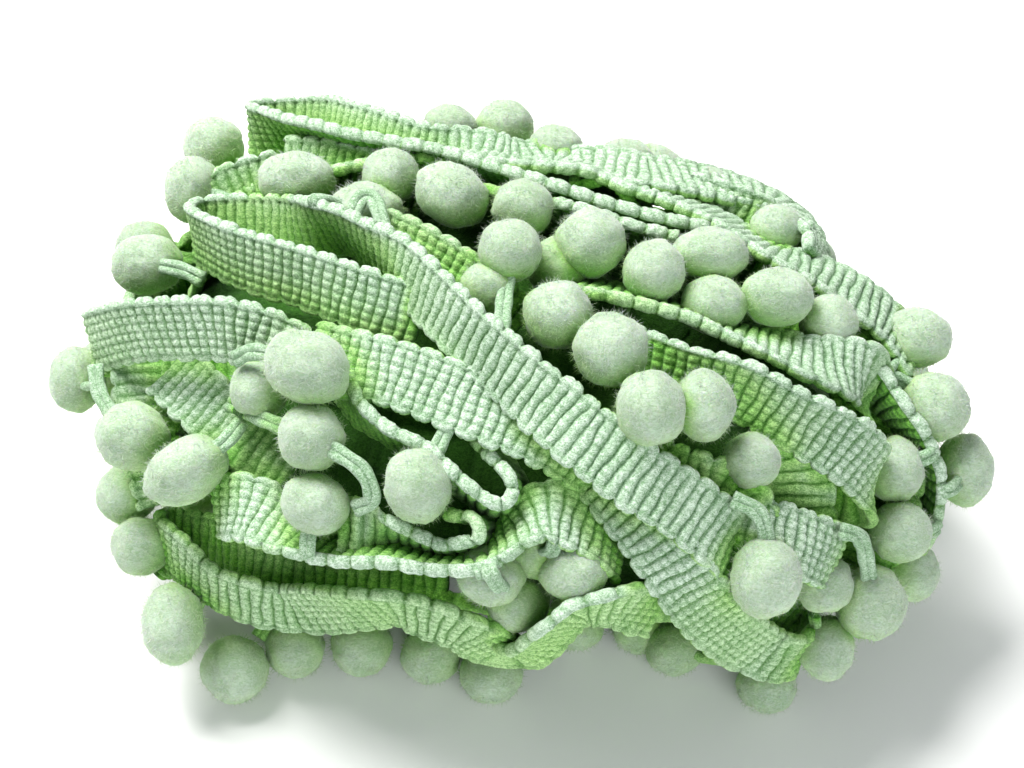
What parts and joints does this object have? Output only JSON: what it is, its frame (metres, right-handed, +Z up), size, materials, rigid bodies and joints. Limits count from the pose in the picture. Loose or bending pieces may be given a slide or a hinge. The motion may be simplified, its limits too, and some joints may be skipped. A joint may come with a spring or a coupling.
{
  "type": "pompom fringe trim",
  "caption": "Loosely wound hank of knitted tape trim with soft round pompoms on short cord loops along one edge.",
  "frame": {"origin": "on the surface that the hank lies on, under the middle of its bounding box", "axes": "+X along the hank's long flattened loops, +Z up, -Y toward the side that the loops fan out on"},
  "size_m": [0.1762, 0.1246, 0.0832],
  "materials": {
    "knitted_tape": "matt knitted yarn, mint green, ribbed across",
    "pompom_fluff": "matt brushed fluff, mint green"
  },
  "bodies": {
    "root": {"wound_tape": "knitted_tape", "pompoms_back_lower": "pompom_fluff", "pompoms_back_middle": "pompom_fluff", "pompoms_back_right": "pompom_fluff", "pompoms_back_top": "pompom_fluff", "pompoms_back_upper": "pompom_fluff", "pompoms_base": "pompom_fluff", "pompoms_behind_main": "pompom_fluff", "pompoms_front_swag": "pompom_fluff", "pompoms_front_under": "pompom_fluff", "pompoms_inner_green": "pompom_fluff", "pompoms_left_loop": "pompom_fluff", "pompoms_lower_inner": "pompom_fluff", "pompoms_lower_right": "pompom_fluff", "pompoms_main_loop": "pompom_fluff", "pompoms_right_fan": "pompom_fluff", "pompoms_right_loop": "pompom_fluff", "pompoms_right_lower": "pompom_fluff", "pompoms_right_rim": "pompom_fluff", "pompoms_small_twist": "pompom_fluff", "pompoms_top_loop": "pompom_fluff"}
  },
  "joints": []
}
